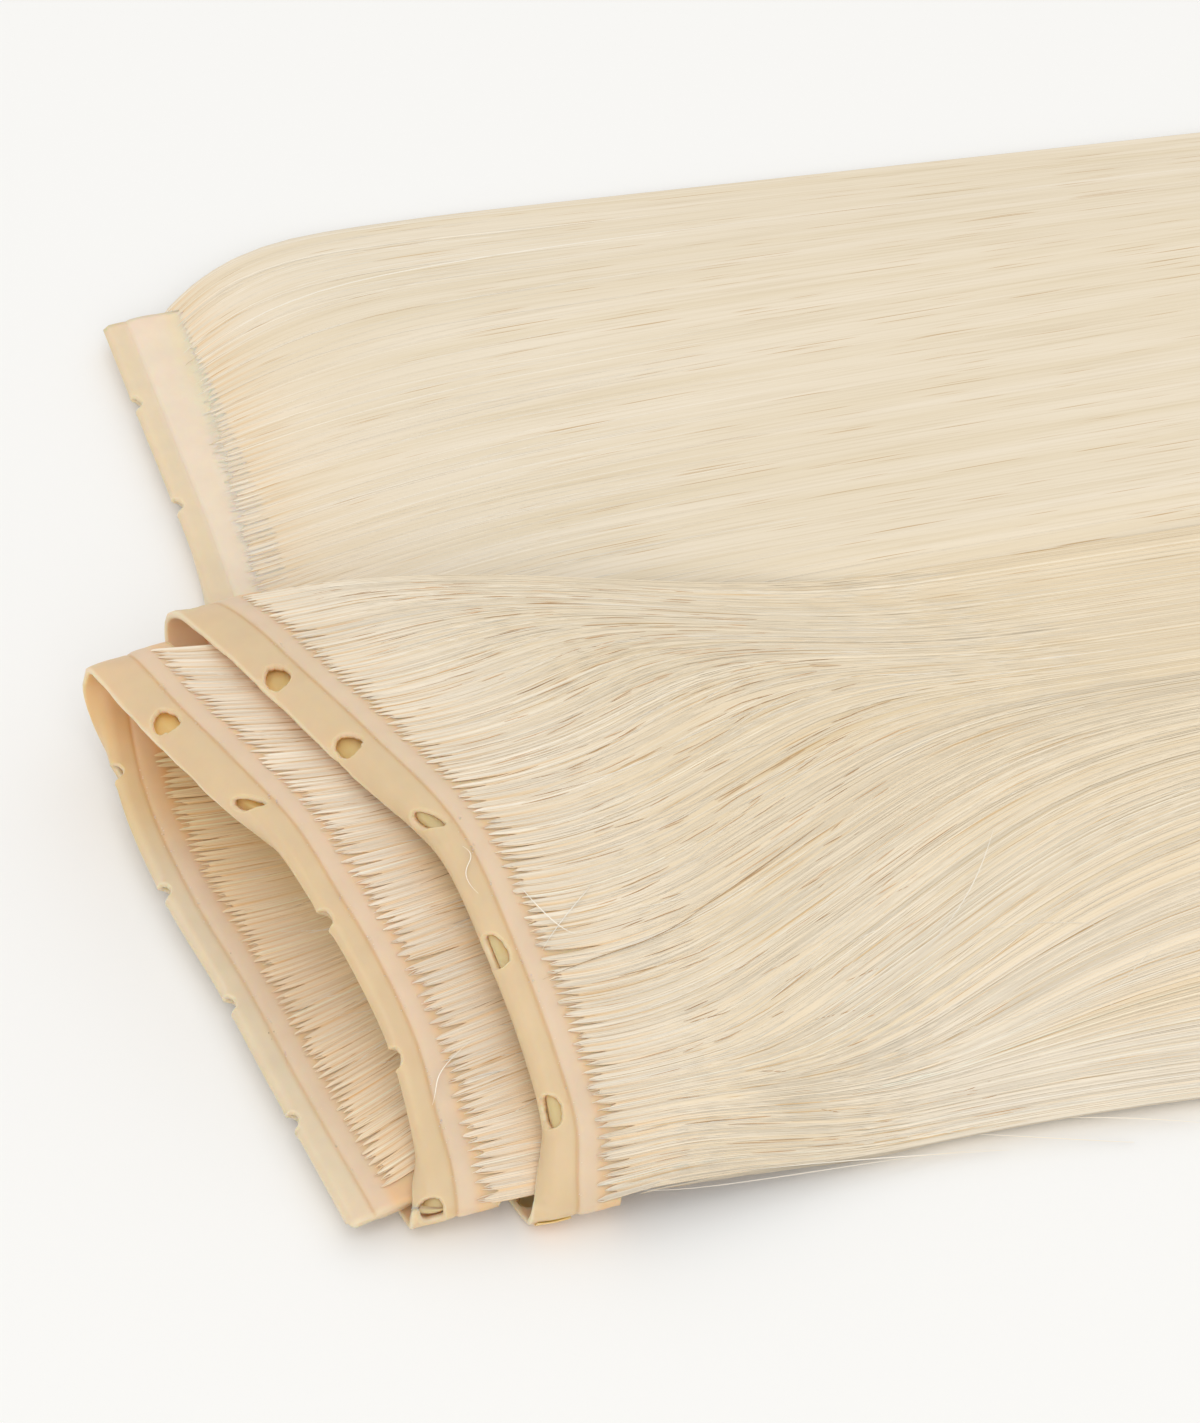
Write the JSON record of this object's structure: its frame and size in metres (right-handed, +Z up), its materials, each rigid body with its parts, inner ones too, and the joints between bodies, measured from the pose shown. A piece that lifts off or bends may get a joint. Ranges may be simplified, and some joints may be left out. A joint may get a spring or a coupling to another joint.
{
  "type": "hair weft",
  "caption": "Pale blonde hair weft with a punched polyurethane band, wound into a loose flat roll and laid on a table with its straight hair fanned out.",
  "frame": {"origin": "on the table, under the middle of the part's bounding box", "axes": "+X along the hair, from the band to the tips; +Y towards the outer cut end of the band; +Z up from the table"},
  "size_m": [0.3804, 0.1042, 0.0161],
  "materials": {
    "band_polyurethane": "satin, slightly translucent cast polyurethane film, pale beige",
    "hair_blonde": "smooth straight pale blonde hair with a soft sheen along its length"
  },
  "bodies": {
    "root": {"pu_band": "band_polyurethane", "hair_turn_1": "hair_blonde", "hair_turn_2": "hair_blonde", "hair_turn_3": "hair_blonde", "hair_turn_4": "hair_blonde", "hair_turn_5": "hair_blonde"}
  },
  "joints": []
}
